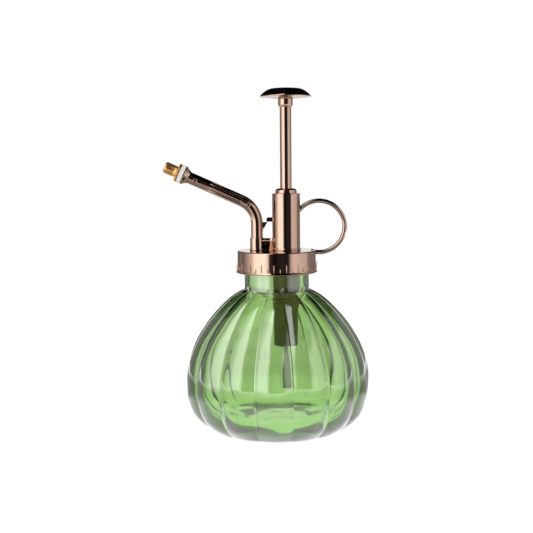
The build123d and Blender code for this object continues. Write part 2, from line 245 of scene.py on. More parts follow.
# helpers
def linkNodes(tree, fromSocket, toSocket):
    tree.links.new(fromSocket, toSocket)


def newMaterial(name):
    material = bpy.data.materials.new(name)
    material.use_nodes = True
    tree = material.node_tree
    shader = tree.nodes["Principled BSDF"]
    return material, tree, shader


def objectCoords(tree, scale=(1, 1, 1)):
    coords = tree.nodes.new("ShaderNodeTexCoord")
    mapping = tree.nodes.new("ShaderNodeMapping")
    mapping.inputs["Scale"].default_value = scale
    linkNodes(tree, coords.outputs["Object"], mapping.inputs["Vector"])
    return mapping.outputs["Vector"]


def noisePattern(tree, coords, scale, detail=3.0, roughness=0.5):
    pattern = tree.nodes.new("ShaderNodeTexNoise")
    pattern.inputs["Scale"].default_value = scale
    pattern.inputs["Detail"].default_value = detail
    pattern.inputs["Roughness"].default_value = roughness
    linkNodes(tree, coords, pattern.inputs["Vector"])
    return pattern.outputs["Fac"]


def spread(tree, value, low, high):
    ranger = tree.nodes.new("ShaderNodeMapRange")
    ranger.inputs["From Min"].default_value = 0.3
    ranger.inputs["From Max"].default_value = 0.7
    ranger.inputs["To Min"].default_value = low
    ranger.inputs["To Max"].default_value = high
    linkNodes(tree, value, ranger.inputs["Value"])
    return ranger.outputs["Result"]


def tint(tree, value, colours):
    ramp = tree.nodes.new("ShaderNodeValToRGB")
    ramp.color_ramp.elements[0].position = 0.3
    ramp.color_ramp.elements[1].position = 0.7
    ramp.color_ramp.elements[0].color = (*colours[0], 1)
    ramp.color_ramp.elements[1].color = (*colours[1], 1)
    linkNodes(tree, value, ramp.inputs["Fac"])
    return ramp.outputs["Color"]


def bumps(tree, value, shader, height, strength=1.0):
    bump = tree.nodes.new("ShaderNodeBump")
    bump.inputs["Distance"].default_value = height
    bump.inputs["Strength"].default_value = strength
    linkNodes(tree, value, bump.inputs["Height"])
    linkNodes(tree, bump.outputs["Normal"], shader.inputs["Normal"])


# materials
def copperPlateMaterial():
    material, tree, shader = newMaterial("copperPlate")
    coords = objectCoords(tree)
    clouds = noisePattern(tree, coords, 90, 2.0)
    fine = noisePattern(tree, coords, 700, 2.0)
    linkNodes(tree, tint(tree, clouds, ((0.40, 0.26, 0.20), (0.44, 0.29, 0.225))), shader.inputs["Base Color"])
    linkNodes(tree, spread(tree, fine, 0.02, 0.045), shader.inputs["Roughness"])
    shader.inputs["Metallic"].default_value = 1.0
    bumps(tree, noisePattern(tree, coords, 160, 1.0), shader, 0.00002, 0.12)
    return material


def greenGlassMaterial():
    material, tree, shader = newMaterial("greenGlass")
    shader.inputs["Base Color"].default_value = (1, 1, 1, 1)
    shader.inputs["Roughness"].default_value = 0.0
    shader.inputs["IOR"].default_value = 1.5
    shader.inputs["Transmission Weight"].default_value = 1.0
    shader.inputs["Coat Weight"].default_value = 1.0  # the bright sheen of the studio lights on the lobes
    shader.inputs["Coat Roughness"].default_value = 0.01
    shader.inputs["Coat IOR"].default_value = 1.7
    volume = tree.nodes.new("ShaderNodeVolumeAbsorption")
    volume.inputs["Color"].default_value = (0.50, 0.885, 0.06, 1)
    volume.inputs["Density"].default_value = 215
    linkNodes(tree, volume.outputs["Volume"], tree.nodes["Material Output"].inputs["Volume"])
    return material


def sleeveMaterial():
    material, tree, shader = newMaterial("dullPlate")
    coords = objectCoords(tree)
    clouds = noisePattern(tree, coords, 240, 3.0)
    colours = ((0.075, 0.048, 0.025), (0.13, 0.083, 0.042))
    linkNodes(tree, tint(tree, clouds, colours), shader.inputs["Base Color"])
    linkNodes(tree, spread(tree, noisePattern(tree, coords, 700, 2.0), 0.12, 0.2), shader.inputs["Roughness"])
    shader.inputs["Metallic"].default_value = 1.0
    return material


def brassMaterial():
    material, tree, shader = newMaterial("turnedBrass")
    coords = objectCoords(tree)
    clouds = noisePattern(tree, coords, 160, 2.0)
    linkNodes(tree, tint(tree, clouds, ((0.58, 0.30, 0.09), (0.64, 0.35, 0.12))), shader.inputs["Base Color"])
    linkNodes(tree, spread(tree, noisePattern(tree, coords, 700, 2.0), 0.22, 0.28), shader.inputs["Roughness"])
    shader.inputs["Metallic"].default_value = 0.85
    return material


def plasticMaterial(name, dark, light, roughLow, roughHigh, scale=400, seeThrough=0.0):
    material, tree, shader = newMaterial(name)
    coords = objectCoords(tree)
    clouds = noisePattern(tree, coords, scale, 3.0)
    linkNodes(tree, tint(tree, clouds, (dark, light)), shader.inputs["Base Color"])
    linkNodes(tree, spread(tree, noisePattern(tree, coords, scale * 3, 2.0), roughLow, roughHigh),
              shader.inputs["Roughness"])
    shader.inputs["Transmission Weight"].default_value = seeThrough
    bumps(tree, noisePattern(tree, coords, scale * 5, 2.0), shader, 0.00001, 0.3)
    return material


def steelMaterial():
    material, tree, shader = newMaterial("stainlessSteel")
    coords = objectCoords(tree)
    clouds = noisePattern(tree, coords, 900, 3.0)
    linkNodes(tree, tint(tree, clouds, ((0.55, 0.55, 0.54), (0.72, 0.72, 0.70))), shader.inputs["Base Color"])
    linkNodes(tree, spread(tree, clouds, 0.14, 0.28), shader.inputs["Roughness"])
    shader.inputs["Metallic"].default_value = 1.0
    return material


copperPlate = copperPlateMaterial()
greenGlass = greenGlassMaterial()
turnedBrass = brassMaterial()
dullPlate = sleeveMaterial()
stainlessSteel = steelMaterial()
whiteNylon = plasticMaterial("whiteNylon", (0.74, 0.76, 0.76), (0.86, 0.87, 0.86), 0.32, 0.5)
blackRubber = plasticMaterial("blackRubber", (0.018, 0.018, 0.018), (0.035, 0.034, 0.033), 0.55, 0.75)
smokePlastic = plasticMaterial("smokePlastic", (0.030, 0.028, 0.026), (0.05, 0.046, 0.042), 0.2, 0.32)
greyAcetal = plasticMaterial("greyAcetal", (0.34, 0.34, 0.33), (0.44, 0.44, 0.42), 0.35, 0.5)
milkyTube = plasticMaterial("milkyTube", (0.22, 0.19, 0.15), (0.30, 0.27, 0.22), 0.3, 0.42, 400, 0.0)
print("materials made")


# bevels every edge whose faces meet at more than the given angle
def softenEdges(bm, width, segments=3, sharpest=28):
    edges = [e for e in bm.edges if len(e.link_faces) == 2 and math.degrees(e.calc_face_angle(0)) > sharpest]
    bmesh.ops.bevel(bm, geom=edges, offset=width, offset_type="OFFSET", segments=segments, profile=0.5,
                    affect="EDGES", clamp_overlap=True, material=-1)


# turns an outline of (radius, height) points about the upright axis
def turnProfile(points, steps, closed=True):
    bm = bmesh.new()
    verts = [bm.verts.new((radius, 0, height)) for radius, height in points]
    edges = [bm.edges.new(pair) for pair in zip(verts, verts[1:])]
    if closed and (verts[0].co - verts[-1].co).length > 1e-6 and min(points[0][0], points[-1][0]) > 1e-6:
        edges.append(bm.edges.new((verts[-1], verts[0])))
    bmesh.ops.spin(bm, geom=verts + edges, cent=(0, 0, 0), axis=(0, 0, 1), angle=fullTurn, steps=steps,
                   use_merge=True)
    bmesh.ops.remove_doubles(bm, verts=bm.verts, dist=1e-5)
    bmesh.ops.recalc_face_normals(bm, faces=bm.faces)
    return bm


def blockBetween(low, high):
    bm = bmesh.new()
    bmesh.ops.create_cube(bm, size=1)
    size = [b - a for a, b in zip(low, high)]
    middle = [(a + b) / 2 for a, b in zip(low, high)]
    bmesh.ops.scale(bm, vec=size, verts=bm.verts)
    bmesh.ops.translate(bm, vec=middle, verts=bm.verts)
    return bm


# joins a second bmesh into the first
def addTo(bm, other):
    mesh = bpy.data.meshes.new("joining")
    other.to_mesh(mesh)
    other.free()
    bm.from_mesh(mesh)
    bpy.data.meshes.remove(mesh)


# moves a bmesh made in millimetres to its place and hands it to the frame
def placePiece(bm, name, body, material, replaced, at=None, crisp=False):
    if at is not None:
        bmesh.ops.transform(bm, matrix=at, verts=bm.verts)
    bmesh.ops.scale(bm, vec=(toMetres,) * 3, verts=bm.verts)
    mesh = bpy.data.meshes.new(name)
    bm.to_mesh(mesh)
    bm.free()
    mesh.shade_smooth()
    piece = bpy.data.objects.new(name, mesh)
    bpy.context.collection.objects.link(piece)
    mesh.materials.append(material)
    if crisp:
        evener = piece.modifiers.new("evenNormals", "WEIGHTED_NORMAL")
        evener.mode = "FACE_AREA"
        evener.weight = 80
    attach(piece, body)
    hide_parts(*replaced)
    return piece


alongPump = Matrix.Translation((pumpX, 0, 0))
riseAngle = math.radians(spout["rise"])
spoutDirection = Vector((-math.cos(riseAngle), 0, math.sin(riseAngle)))
spoutCorner = Vector((spoutX, 0, spout["cornerHeight"]))
spoutEnd = spoutCorner + spoutDirection * spout["reach"]
alongNozzle = Matrix.Translation(spoutEnd) @ Matrix.Rotation(-(math.pi / 2 - riseAngle), 4, "Y")


# the glass bottle
# a smooth run through the given points, a Catmull-Rom curve
def curveThrough(points, steps):
    ends = [points[0]] + list(points) + [points[-1]]
    run = []
    for a, b, c, d in zip(ends, ends[1:], ends[2:], ends[3:]):
        for n in range(steps):
            t = n / steps
            run.append([0.5 * (2 * q + (r - p) * t + (2 * p - 5 * q + 4 * r - s) * t * t
                               + (3 * q - p - 3 * r + s) * t ** 3) for p, q, r, s in zip(a, b, c, d)])
    run.append(list(points[-1]))
    return run


def grooveShare(angle, width):  # 0 on a lobe's crest, 1 in the rounded groove between two lobes
    lobe = fullTurn / bottle["lobes"]
    fromGroove = abs((angle - math.radians(bottle["firstGroove"]) + lobe / 2) % lobe - lobe / 2) / (lobe / 2)
    softened = (math.hypot(fromGroove, width) - width) / (math.hypot(1, width) - width)
    return 1 - softened * (2 - softened)


# shifts a meridian towards the nearest groove
def crowdToGrooves(angle):
    lobe = fullTurn / bottle["lobes"]
    phase = (angle - math.radians(bottle["firstGroove"])) / lobe * fullTurn
    return angle - bottle["crowding"] * lobe / fullTurn * math.sin(phase)


# the slow unevenness of pressed glass, more of it on the inner wall and floor
def rippled(place, inside, amount):
    outward = Vector((place.x, place.y, 0))
    if outward.length > 1e-6:
        outward.normalize()
    sample = Vector((place.x, place.y, place.z * bottle["rippleStretch"])) / bottle["rippleSize"]
    shift = outward * noise.noise(sample) * amount * 2
    if inside and place.z < bottle["floorFrom"]:
        depth = (1 - place.z / bottle["floorFrom"]) ** 2
        sample = place / bottle["rippleSize"] + Vector(bottle["heaveShift"])
        shift.z += noise.noise(sample) * bottle["floorHeave"] * depth
    return shift


def makeBottle():
    bm = bmesh.new()
    groove, ripple, inner = (bm.verts.layers.float.new(name) for name in ("groove", "ripple", "inner"))
    outline = []
    for number, stretch in enumerate(bottle["stretches"]):
        run = curveThrough(stretch, bottle["stepsPerSpan"])
        for height, radius, grooveDepth, rippleAmount in run[1 if outline else 0:]:
            vert = bm.verts.new((max(radius, 0), 0, height))
            vert[groove], vert[ripple], vert[inner] = grooveDepth, rippleAmount, float(number == 3)
            outline.append(vert)
    edges = [bm.edges.new(pair) for pair in zip(outline, outline[1:])]
    bmesh.ops.spin(bm, geom=outline + edges, cent=(0, 0, 0), axis=(0, 0, 1), angle=fullTurn,
                   steps=bottle["lobes"] * bottle["stepsPerLobe"], use_merge=True)
    bmesh.ops.remove_doubles(bm, verts=bm.verts, dist=1e-5)
    for vert in bm.verts:
        radius = math.hypot(vert.co.x, vert.co.y)
        if radius < 1e-4:
            continue
        angle = crowdToGrooves(math.atan2(vert.co.y, vert.co.x))
        radius -= vert[groove] * grooveShare(angle, bottle["grooveWidth"][vert[inner] > 0.5])
        vert.co.x, vert.co.y = radius * math.cos(angle), radius * math.sin(angle)
        if vert[ripple] > 0:
            vert.co += rippled(vert.co, vert[inner] > 0.5, vert[ripple])
    bmesh.ops.recalc_face_normals(bm, faces=bm.faces)
    addTo(bm, threadTurns(glassThread))
    addTo(bm, makeSeeds())
    return bm


# a screw thread's ridge: its section turned about the axis as it climbs
def threadTurns(thread):
    bm = bmesh.new()
    corners = [(thread["root"], -thread["rootHalf"]), (thread["crest"], -thread["crestHalf"]),
               (thread["crest"], thread["crestHalf"]), (thread["root"], thread["rootHalf"])]
    section = bm.faces.new([bm.verts.new((radius, 0, thread["start"] + height)) for radius, height in corners])
    bmesh.ops.rotate(bm, cent=(0, 0, 0), matrix=Matrix.Rotation(math.radians(thread["from"]), 3, "Z"),
                     verts=bm.verts)
    steps = round(thread["turns"] * thread["stepsPerTurn"])
    edges = list(section.edges)
    result = bmesh.ops.spin(bm, geom=list(section.verts) + edges, cent=(0, 0, 0), axis=(0, 0, 1),
                            dvec=(0, 0, thread["pitch"] * thread["turns"] / steps),
                            angle=fullTurn * thread["turns"], steps=steps)
    last = [item for item in result["geom_last"] if isinstance(item, bmesh.types.BMEdge)]
    bmesh.ops.holes_fill(bm, edges=last, sides=4)
    bmesh.ops.remove_doubles(bm, verts=bm.verts, dist=1e-5)
    bmesh.ops.recalc_face_normals(bm, faces=bm.faces)
    return bm


# small air bubbles in the glass: shells that face inwards, because they are holes in it
def makeSeeds():
    chance = random.Random(seeds["randomSeed"])
    bm = bmesh.new()
    for n in range(seeds["count"]):
        size = chance.uniform(seeds["smallest"], seeds["largest"])
        angle = chance.uniform(0, fullTurn)
        if n % 2:  # in the floor
            radius, height = chance.uniform(*seeds["floorRadius"]), chance.uniform(*seeds["floorHeight"])
        else:  # in the wall, behind a lobe's crest
            lobe = chance.randrange(bottle["lobes"]) + chance.uniform(*seeds["acrossLobe"])
            angle = math.radians(bottle["firstGroove"]) + lobe * fullTurn / bottle["lobes"]
            height = chance.uniform(*seeds["wallHeight"])
            radius = seeds["wallRadius"] - seeds["wallCurve"] * (height - seeds["wallWidest"]) ** 2
        made = bmesh.ops.create_icosphere(bm, subdivisions=2, radius=size)
        bmesh.ops.scale(bm, vec=(1, 1, chance.uniform(1, seeds["longest"])), verts=made["verts"])
        bmesh.ops.translate(bm, vec=(radius * math.cos(angle), radius * math.sin(angle), height),
                            verts=made["verts"])
    bmesh.ops.recalc_face_normals(bm, faces=bm.faces)
    bmesh.ops.reverse_faces(bm, faces=bm.faces)
    return bm


placePiece(makeBottle(), "glassBottle", "bottle", greenGlass, ["glass_bottle"])
print("bottle made")


# the screw cap
# a grip rib: a half-round bar with a tapered top
def makeRib(length, angle):
    bm = bmesh.new()
    foot = cap["ribFoot"]
    whole = 1 + cap["ribLower"] + cap["ribUpper"]
    bmesh.ops.create_uvsphere(bm, u_segments=10, v_segments=8, radius=1)
    for vert in bm.verts:
        # the lower half is drawn down into a bar, the upper half runs out to a point
        if vert.co.z < 0:
            vert.co.z *= cap["ribLower"]
            vert.co.z -= 1
        else:
            vert.co.z *= cap["ribUpper"]
    bmesh.ops.scale(bm, vec=(cap["ribHeight"], cap["ribWidth"] / 2, length / whole), verts=bm.verts)
    middle = foot + length * (1 + cap["ribLower"]) / whole
    bmesh.ops.translate(bm, vec=(cap["ribAt"], 0, middle), verts=bm.verts)
    bmesh.ops.rotate(bm, cent=(0, 0, 0), matrix=Matrix.Rotation(angle, 3, "Z"), verts=bm.verts)
    return bm


def makeCap():
    bm = turnProfile(cap["outline"], cap["steps"])
    topCorner = [e for e in bm.edges if all(v.co.z > cap["topFrom"]
                                                   and math.hypot(v.co.x, v.co.y) > cap["topOutside"]
                                                   for v in e.verts)]
    bmesh.ops.bevel(bm, geom=topCorner, offset=cap["topEdge"], offset_type="OFFSET", segments=6, profile=0.5,
                    affect="EDGES", clamp_overlap=True, material=-1)
    softenEdges(bm, cap["edge"])
    # the pump's hole stands off the cap's axis: its rim is moved there after turning
    for vert in bm.verts:
        if math.hypot(vert.co.x, vert.co.y) < cap["holeWithin"]:
            vert.co.x += pumpX
    addTo(bm, threadTurns(capThread))
    for n in range(2 * cap["ribPairs"]):
        length = cap["longRib"] if n % 2 else cap["shortRib"]
        addTo(bm, makeRib(length, (n + 0.5) * math.pi / cap["ribPairs"]))
    return bm


placePiece(makeCap(), "screwCap", "head", copperPlate, ["screw_cap"], crisp=True)
print("cap made")


# the pump's outside
def turnedPiece(settings, name, body, material, replaced, at=alongPump):
    bm = turnProfile(settings["outline"], settings["steps"])
    if "edge" in settings:
        softenEdges(bm, settings["edge"])
    return placePiece(bm, name, body, material, replaced, at=at, crisp=True)


turnedPiece(barrel, "pumpBarrel", "head", copperPlate, ["pump_barrel"])
turnedPiece(glandNut, "glandNut", "head", copperPlate, ["gland_nut"])
turnedPiece(knob, "thumbKnob", "plunger", copperPlate, ["knob"])
turnedPiece(rodCollar, "rodCollar", "plunger", copperPlate, ["rod_collar"])
turnedPiece(rod, "pistonRod", "plunger", copperPlate, ["piston_rod"])
turnedPiece(sleeve, "pumpSleeve", "head", dullPlate, ["pump_sleeve"])
turnedPiece(dipTube, "dipTube", "head", milkyTube, ["dip_tube"])
print("pump turned")


def makeOutletBlock():
    bm = turnProfile(socket["outline"], socket["steps"])
    softenEdges(bm, socket["edge"])
    bmesh.ops.translate(bm, vec=(spoutX, 0, 0), verts=bm.verts)
    bridge = socket["bridge"]
    block = blockBetween((bridge["fromX"], -bridge["halfWidth"], bridge["bottom"]),
                         (bridge["toX"], bridge["halfWidth"], bridge["top"]))
    topEdges = [e for e in block.edges if min(v.co.z for v in e.verts) > bridge["top"] - 0.01
                and abs(e.verts[0].co.x - e.verts[1].co.x) > 1]
    bmesh.ops.bevel(block, geom=topEdges, offset=bridge["edge"], offset_type="OFFSET", segments=5, profile=0.5,
                    affect="EDGES", clamp_overlap=True, material=-1)
    along = [e for e in block.edges if abs(e.verts[0].co.x - e.verts[1].co.x) > 1]
    bmesh.ops.subdivide_edges(block, edges=along, cuts=bridge["cuts"], use_grid_fill=True)
    # its sides draw in between the socket and the barrel
    start, end = socket["outline"][4][0] + spoutX, pumpX - barrel["outline"][4][0]
    for vert in block.verts:
        share = (2 * vert.co.x - start - end) / (end - start)
        if abs(share) < 1:
            vert.co.y *= 1 - bridge["hollow"] * (1 - share * share) / bridge["halfWidth"]
    addTo(bm, block)
    return bm


placePiece(makeOutletBlock(), "outletBlock", "head", copperPlate, ["outlet_block"], crisp=True)


# extrudes a ring of edges straight on and gives the new ring
def pushed(bm, edges, vector):
    result = bmesh.ops.extrude_edge_only(bm, edges=edges)
    verts = [item for item in result["geom"] if isinstance(item, bmesh.types.BMVert)]
    bmesh.ops.translate(bm, vec=vector, verts=verts)
    return [item for item in result["geom"] if isinstance(item, bmesh.types.BMEdge)
            and all(vert in verts for vert in item.verts)]


# one round wall of the spout: up, round the bend and out along the nozzle's direction
def bentRun(bm, radius):
    ring = bmesh.ops.create_circle(bm, segments=spout["sides"], radius=radius)["verts"]
    bmesh.ops.translate(bm, vec=(spoutX, 0, spout["start"]), verts=ring)
    first = list({edge for vert in ring for edge in vert.link_edges})
    turn = math.pi / 2 - riseAngle
    setback = spout["bend"] * math.tan(turn / 2)
    rise = spout["cornerHeight"] - setback - spout["start"]
    # a narrow band of faces at both ends of a straight run keeps its shading even
    ring = pushed(bm, first, (0, 0, spout["band"]))
    ring = pushed(bm, ring, (0, 0, rise - 2 * spout["band"]))
    ring = pushed(bm, ring, (0, 0, spout["band"]))
    verts = list({vert for edge in ring for vert in edge.verts})
    result = bmesh.ops.spin(bm, geom=verts + ring, cent=(spoutX - spout["bend"], 0, spout["start"] + rise),
                            axis=(0, -1, 0), angle=turn, steps=spout["bendSteps"])
    ring = [item for item in result["geom_last"] if isinstance(item, bmesh.types.BMEdge)]
    ring = pushed(bm, ring, spoutDirection * spout["band"])
    ring = pushed(bm, ring, spoutDirection * (spout["reach"] - setback + spout["stub"] - 2 * spout["band"]))
    last = pushed(bm, ring, spoutDirection * spout["band"])
    return first, last


def makeSpout():
    bm = bmesh.new()
    outerFirst, outerLast = bentRun(bm, spout["radius"])
    innerFirst, innerLast = bentRun(bm, spout["bore"])
    bmesh.ops.bridge_loops(bm, edges=outerFirst + innerFirst)
    bmesh.ops.bridge_loops(bm, edges=outerLast + innerLast)
    bmesh.ops.recalc_face_normals(bm, faces=bm.faces)
    fin = bmesh.new()
    corners = [fin.verts.new((x, -spout["fin"]["halfWidth"], height)) for x, height in spout["fin"]["corners"]]
    side = fin.faces.new(corners)
    grown = bmesh.ops.extrude_face_region(fin, geom=[side])
    bmesh.ops.translate(fin, vec=(0, 2 * spout["fin"]["halfWidth"], 0),
                        verts=[item for item in grown["geom"] if isinstance(item, bmesh.types.BMVert)])
    bmesh.ops.recalc_face_normals(fin, faces=fin.faces)
    softenEdges(fin, spout["fin"]["edge"])
    addTo(bm, fin)
    return bm


placePiece(makeSpout(), "spoutTube", "head", copperPlate, ["spout_tube"])


# round plugs of the moulding, each with a fine raised lip
def makeCorePlugs():
    bm = bmesh.new()
    nearEnd = spoutEnd - spoutDirection * spout["plugFromEnd"]
    along = math.radians(spout["plugAlongBend"])
    bendFrom = spout["cornerHeight"] - spout["bend"] * math.tan((math.pi / 2 - riseAngle) / 2)
    nearBend = Vector((spoutX - spout["bend"] * (1 - math.cos(along)), 0,
                       bendFrom + spout["bend"] * math.sin(along)))
    for place in (nearEnd, nearBend):
        for side in (-1, 1):
            plug = turnProfile(spout["plugOutline"], spout["plugSteps"])
            bmesh.ops.transform(plug, matrix=Matrix.Translation((place.x, side * spout["plugOut"], place.z))
                                @ Matrix.Rotation(-side * math.pi / 2, 4, "X"), verts=plug.verts)
            addTo(bm, plug)
    return bm


placePiece(makeCorePlugs(), "spoutPlugs", "head", copperPlate, ["spout_core_plugs"])


def makeCatch():
    bm = blockBetween((catch["fromX"], -catch["halfWidth"], catch["bottom"]),
                      (catch["toX"], catch["halfWidth"], catch["top"]))
    nose = [e for e in bm.edges if all(v.co.x < catch["fromX"] + 0.01 and v.co.z > catch["top"] - 0.01
                                       for v in e.verts)]
    bmesh.ops.bevel(bm, geom=nose, offset=catch["nose"], offset_type="OFFSET", segments=8, profile=0.5,
                    affect="EDGES", clamp_overlap=True, material=-1)
    softenEdges(bm, catch["edge"], 2)
    return bm


placePiece(makeCatch(), "spoutCatch", "head", copperPlate, ["spout_catch"], crisp=True)


def makeFingerRing():
    bm = bmesh.new()
    wire = bmesh.ops.create_circle(bm, segments=fingerRing["sides"], radius=fingerRing["wire"])["verts"]
    bmesh.ops.translate(bm, vec=(fingerRing["radius"], 0, 0), verts=wire)
    edges = list({edge for vert in wire for edge in vert.link_edges})
    bmesh.ops.rotate(bm, cent=(0, 0, 0), matrix=Matrix.Rotation(math.radians(-fingerRing["from"]), 3, "Y"),
                     verts=wire)
    bmesh.ops.spin(bm, geom=wire + edges, cent=(0, 0, 0), axis=(0, -1, 0),
                   angle=math.radians(fingerRing["turn"]), steps=fingerRing["steps"])
    bmesh.ops.holes_fill(bm, edges=bm.edges, sides=fingerRing["sides"])
    bmesh.ops.translate(bm, vec=(fingerRing["x"], 0, fingerRing["height"]), verts=bm.verts)
    bmesh.ops.recalc_face_normals(bm, faces=bm.faces)
    return bm


placePiece(makeFingerRing(), "fingerRing", "head", copperPlate, ["finger_ring"], crisp=True)
print("spout, catch and ring made")


# the nozzle, made upright and laid along the spout
# turns an outline and cuts rounded notches into its outer rows
def toothedRing(outline, settings):
    bm = turnProfile(outline, settings["teeth"] * settings["stepsPerTooth"])
    for vert in bm.verts:
        radius = math.hypot(vert.co.x, vert.co.y)
        if radius > settings["toothedFrom"]:
            angle = math.atan2(vert.co.y, vert.co.x)
            share = 1 - settings["depth"] * max(0, math.cos(settings["teeth"] * angle)) ** toothShape / radius
            vert.co.x *= share
            vert.co.y *= share
    return bm


turnedPiece(flange, "spoutFlange", "head", copperPlate, ["spout_flange"], at=alongNozzle)

inset, rounding = washer["bevel"]
washerOutline = [(washer["inside"], washer["bottom"]), (washer["outside"] - inset, washer["bottom"]),
                 (washer["outside"], washer["bottom"] + rounding), (washer["outside"], washer["top"] - rounding),
                 (washer["outside"] - inset, washer["top"]), (washer["inside"], washer["top"])]
placePiece(toothedRing(washerOutline, washer), "nozzleWasher", "head", whiteNylon,
           ["nozzle_washer"], at=alongNozzle)
placePiece(toothedRing(nozzleCap["outline"], nozzleCap), "nozzleCap", "nozzle", turnedBrass,
           ["nozzle_cap"], at=alongNozzle, crisp=True)
print("nozzle made")


# the return spring
def makeSpring():
    bm = bmesh.new()
    loop = bmesh.ops.create_circle(bm, segments=spring["sides"], radius=spring["wire"])["verts"]
    bmesh.ops.rotate(bm, cent=(0, 0, 0), matrix=Matrix.Rotation(math.pi / 2, 3, "X"), verts=loop)
    bmesh.ops.translate(bm, vec=(spring["mean"], 0, spring["bottom"]), verts=loop)
    edges = list({edge for vert in loop for edge in vert.link_edges})
    steps = spring["coils"] * spring["stepsPerCoil"]
    bmesh.ops.spin(bm, geom=loop + edges, cent=(0, 0, 0), axis=(0, 0, 1),
                   dvec=(0, 0, (spring["top"] - spring["bottom"]) / steps),
                   angle=fullTurn * spring["coils"], steps=steps)
    bmesh.ops.holes_fill(bm, edges=bm.edges, sides=spring["sides"])
    bmesh.ops.recalc_face_normals(bm, faces=bm.faces)
    return bm


springPiece = placePiece(makeSpring(), "returnSpring", "head", stainlessSteel, ["return_spring"],
                         at=alongPump)
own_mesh(springPiece)
print("spring made")

# finishes of the CAD pieces that stay
carriedOver = {
    "neck_gasket": blackRubber, "spout_gasket": blackRubber, "nozzle_gasket": blackRubber,
    "rod_seal": blackRubber, "piston_seal": blackRubber,
    "outlet_ball": stainlessSteel, "inlet_ball": stainlessSteel, "outlet_ball_stop": stainlessSteel,
    "knob_stud": stainlessSteel,
    "piston_stop": greyAcetal, "cylinder_liner": greyAcetal, "ball_retainer": greyAcetal, "rod_plug": greyAcetal,
    "piston": greyAcetal, "swirl_insert": greyAcetal, "nozzle_spigot": greyAcetal,
    "lock_nut": smokePlastic, "foot_valve": smokePlastic,
}
for nodeName, finish in carriedOver.items():
    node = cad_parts[nodeName]
    node.data.materials.clear()
    node.data.materials.append(finish)
print("finishes given to", len(carriedOver), "CAD pieces")


# the stage, the light and the camera
# a glow that is weaker where it is seen through the glass
def dimmedInGlass(tree, path, glow, dim):
    dimmer = tree.nodes.new("ShaderNodeMath")
    dimmer.operation = "MULTIPLY_ADD"
    linkNodes(tree, path.outputs["Is Transmission Ray"], dimmer.inputs[0])
    dimmer.inputs[1].default_value = -dim * glow
    dimmer.inputs[2].default_value = glow
    return dimmer.outputs[0]


